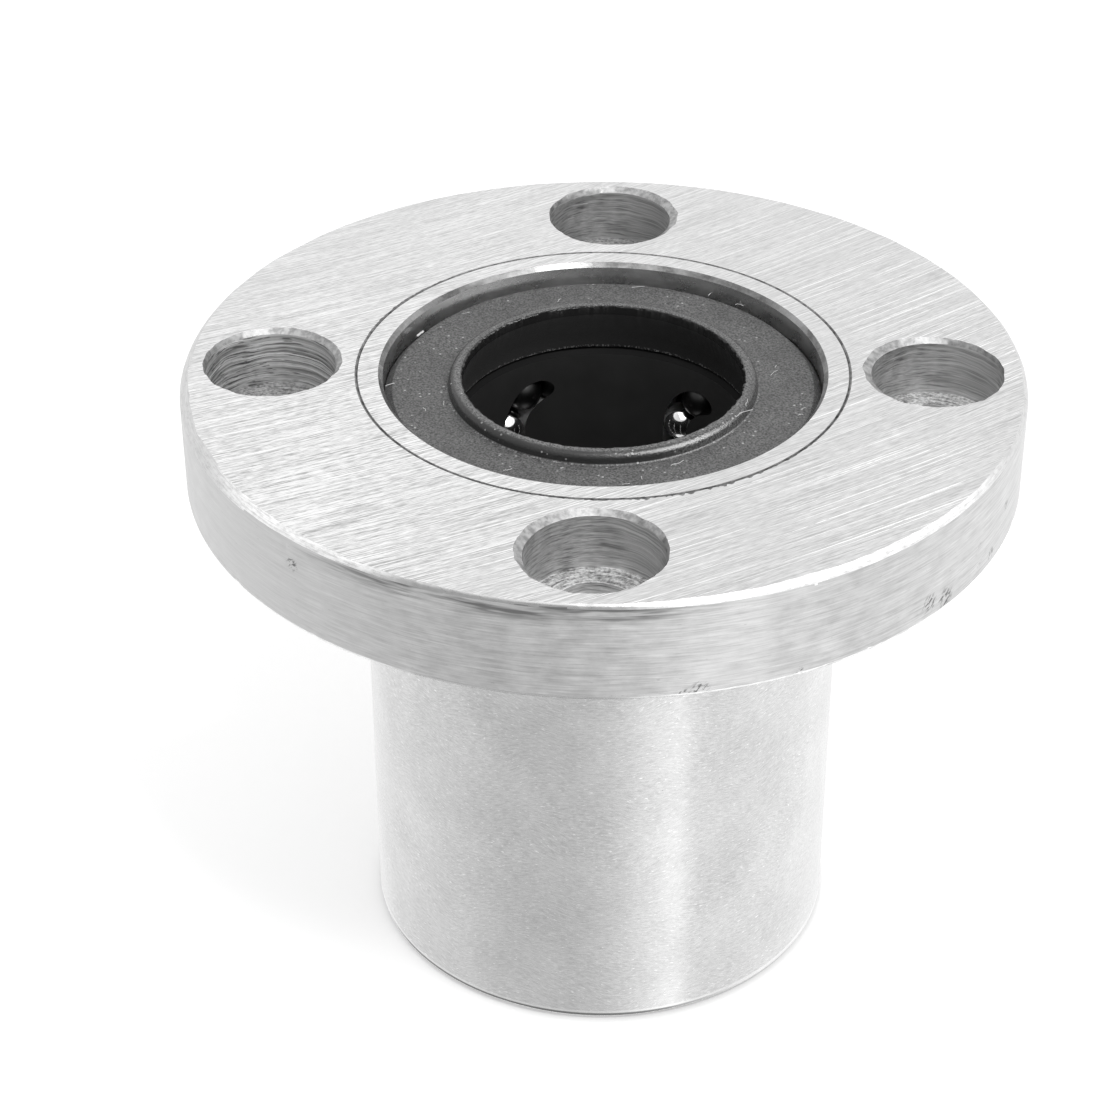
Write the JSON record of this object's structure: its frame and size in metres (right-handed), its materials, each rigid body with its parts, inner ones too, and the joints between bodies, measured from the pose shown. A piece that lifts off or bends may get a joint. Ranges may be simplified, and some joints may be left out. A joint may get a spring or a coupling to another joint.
{
  "type": "flanged linear bearing",
  "caption": "Round-flanged linear ball bearing for a 16 mm shaft: ground steel sleeve with a pressed-on flange, counterbored screw holes, black lip seals and caged ball circuits.",
  "frame": {"origin": "centre of the sleeve's free end face, which the bearing stands on", "axes": "+Z along the bore towards the flange; +X and +Y through screw holes"},
  "size_m": [0.048, 0.048, 0.037],
  "materials": {
    "flange_steel": "turned rim, surface-ground face",
    "sleeve_steel": "fine ground",
    "cage_resin": "moulded",
    "spring_steel": "stamped, dark oiled",
    "seal_rubber": "moulded, dusty",
    "ball_steel": "polished"
  },
  "bodies": {
    "housing": {"flange": "flange_steel", "outer_sleeve": "sleeve_steel", "ball_retainer": "cage_resin", "upper_snap_ring": "spring_steel", "lower_snap_ring": "spring_steel", "upper_seal": "seal_rubber", "lower_seal": "seal_rubber"},
    "loaded_row_1": {"loaded_row_1": "ball_steel"},
    "return_row_1": {"return_row_1": "ball_steel"},
    "upper_turn_1": {"upper_turn_1": "ball_steel"},
    "lower_turn_1": {"lower_turn_1": "ball_steel"},
    "loaded_row_2": {"loaded_row_2": "ball_steel"},
    "return_row_2": {"return_row_2": "ball_steel"},
    "upper_turn_2": {"upper_turn_2": "ball_steel"},
    "lower_turn_2": {"lower_turn_2": "ball_steel"},
    "loaded_row_3": {"loaded_row_3": "ball_steel"},
    "return_row_3": {"return_row_3": "ball_steel"},
    "upper_turn_3": {"upper_turn_3": "ball_steel"},
    "lower_turn_3": {"lower_turn_3": "ball_steel"},
    "loaded_row_4": {"loaded_row_4": "ball_steel"},
    "return_row_4": {"return_row_4": "ball_steel"},
    "upper_turn_4": {"upper_turn_4": "ball_steel"},
    "lower_turn_4": {"lower_turn_4": "ball_steel"},
    "loaded_row_5": {"loaded_row_5": "ball_steel"},
    "return_row_5": {"return_row_5": "ball_steel"},
    "upper_turn_5": {"upper_turn_5": "ball_steel"},
    "lower_turn_5": {"lower_turn_5": "ball_steel"}
  },
  "joints": [
    {"name": "loaded_travel_1", "type": "slide", "parent": "housing", "child": "loaded_row_1", "axis": [0, 0, 1], "range_m": [-0.00012, 0.00242]},
    {"name": "return_travel_1", "type": "slide", "parent": "housing", "child": "return_row_1", "axis": [0, 0, 1], "range_m": [-0.00242, 0.00012]},
    {"name": "upper_turn_roll_1", "type": "hinge", "parent": "housing", "child": "upper_turn_1", "pos_m": [0.00674, 0.00657, 0.02868], "axis": [0.5545, 0.8322, 0], "range_deg": [-2.85, 57.08]},
    {"name": "lower_turn_roll_1", "type": "hinge", "parent": "housing", "child": "lower_turn_1", "pos_m": [0.00674, 0.00657, 0.00832], "axis": [0.5545, 0.8322, 0], "range_deg": [-2.85, 57.08]},
    {"name": "loaded_travel_2", "type": "slide", "parent": "housing", "child": "loaded_row_2", "axis": [0, 0, 1], "range_m": [-0.00012, 0.00242]},
    {"name": "return_travel_2", "type": "slide", "parent": "housing", "child": "return_row_2", "axis": [0, 0, 1], "range_m": [-0.00242, 0.00012]},
    {"name": "upper_turn_roll_2", "type": "hinge", "parent": "housing", "child": "upper_turn_2", "pos_m": [-0.00416, 0.00844, 0.02868], "axis": [-0.6201, 0.7845, 0], "range_deg": [-2.85, 57.08]},
    {"name": "lower_turn_roll_2", "type": "hinge", "parent": "housing", "child": "lower_turn_2", "pos_m": [-0.00416, 0.00844, 0.00832], "axis": [-0.6201, 0.7845, 0], "range_deg": [-2.85, 57.08]},
    {"name": "loaded_travel_3", "type": "slide", "parent": "housing", "child": "loaded_row_3", "axis": [0, 0, 1], "range_m": [-0.00012, 0.00242]},
    {"name": "return_travel_3", "type": "slide", "parent": "housing", "child": "return_row_3", "axis": [0, 0, 1], "range_m": [-0.00242, 0.00012]},
    {"name": "upper_turn_roll_3", "type": "hinge", "parent": "housing", "child": "upper_turn_3", "pos_m": [-0.00931, -0.00135, 0.02868], "axis": [-0.9378, -0.3473, 0], "range_deg": [-2.85, 57.08]},
    {"name": "lower_turn_roll_3", "type": "hinge", "parent": "housing", "child": "lower_turn_3", "pos_m": [-0.00931, -0.00135, 0.00832], "axis": [-0.9378, -0.3473, 0], "range_deg": [-2.85, 57.08]},
    {"name": "loaded_travel_4", "type": "slide", "parent": "housing", "child": "loaded_row_4", "axis": [0, 0, 1], "range_m": [-0.00012, 0.00242]},
    {"name": "return_travel_4", "type": "slide", "parent": "housing", "child": "return_row_4", "axis": [0, 0, 1], "range_m": [-0.00242, 0.00012]},
    {"name": "upper_turn_roll_4", "type": "hinge", "parent": "housing", "child": "upper_turn_4", "pos_m": [-0.00159, -0.00928, 0.02868], "axis": [0.0405, -0.9992, 0], "range_deg": [-2.85, 57.08]},
    {"name": "lower_turn_roll_4", "type": "hinge", "parent": "housing", "child": "lower_turn_4", "pos_m": [-0.00159, -0.00928, 0.00832], "axis": [0.0405, -0.9992, 0], "range_deg": [-2.85, 57.08]},
    {"name": "loaded_travel_5", "type": "slide", "parent": "housing", "child": "loaded_row_5", "axis": [0, 0, 1], "range_m": [-0.00012, 0.00242]},
    {"name": "return_travel_5", "type": "slide", "parent": "housing", "child": "return_row_5", "axis": [0, 0, 1], "range_m": [-0.00242, 0.00012]},
    {"name": "upper_turn_roll_5", "type": "hinge", "parent": "housing", "child": "upper_turn_5", "pos_m": [0.00833, -0.00438, 0.02868], "axis": [0.9628, -0.2702, 0], "range_deg": [-2.85, 57.08]},
    {"name": "lower_turn_roll_5", "type": "hinge", "parent": "housing", "child": "lower_turn_5", "pos_m": [0.00833, -0.00438, 0.00832], "axis": [0.9628, -0.2702, 0], "range_deg": [-2.85, 57.08]}
  ],
  "couplings": [
    {"joint": "return_travel_1", "follows": "loaded_travel_1", "ratio": -1},
    {"joint": "upper_turn_roll_1", "follows": "loaded_travel_1", "rad_per_m": 411.52},
    {"joint": "lower_turn_roll_1", "follows": "loaded_travel_1", "rad_per_m": 411.52},
    {"joint": "return_travel_2", "follows": "loaded_travel_2", "ratio": -1},
    {"joint": "upper_turn_roll_2", "follows": "loaded_travel_2", "rad_per_m": 411.52},
    {"joint": "lower_turn_roll_2", "follows": "loaded_travel_2", "rad_per_m": 411.52},
    {"joint": "return_travel_3", "follows": "loaded_travel_3", "ratio": -1},
    {"joint": "upper_turn_roll_3", "follows": "loaded_travel_3", "rad_per_m": 411.52},
    {"joint": "lower_turn_roll_3", "follows": "loaded_travel_3", "rad_per_m": 411.52},
    {"joint": "return_travel_4", "follows": "loaded_travel_4", "ratio": -1},
    {"joint": "upper_turn_roll_4", "follows": "loaded_travel_4", "rad_per_m": 411.52},
    {"joint": "lower_turn_roll_4", "follows": "loaded_travel_4", "rad_per_m": 411.52},
    {"joint": "return_travel_5", "follows": "loaded_travel_5", "ratio": -1},
    {"joint": "upper_turn_roll_5", "follows": "loaded_travel_5", "rad_per_m": 411.52},
    {"joint": "lower_turn_roll_5", "follows": "loaded_travel_5", "rad_per_m": 411.52}
  ]
}
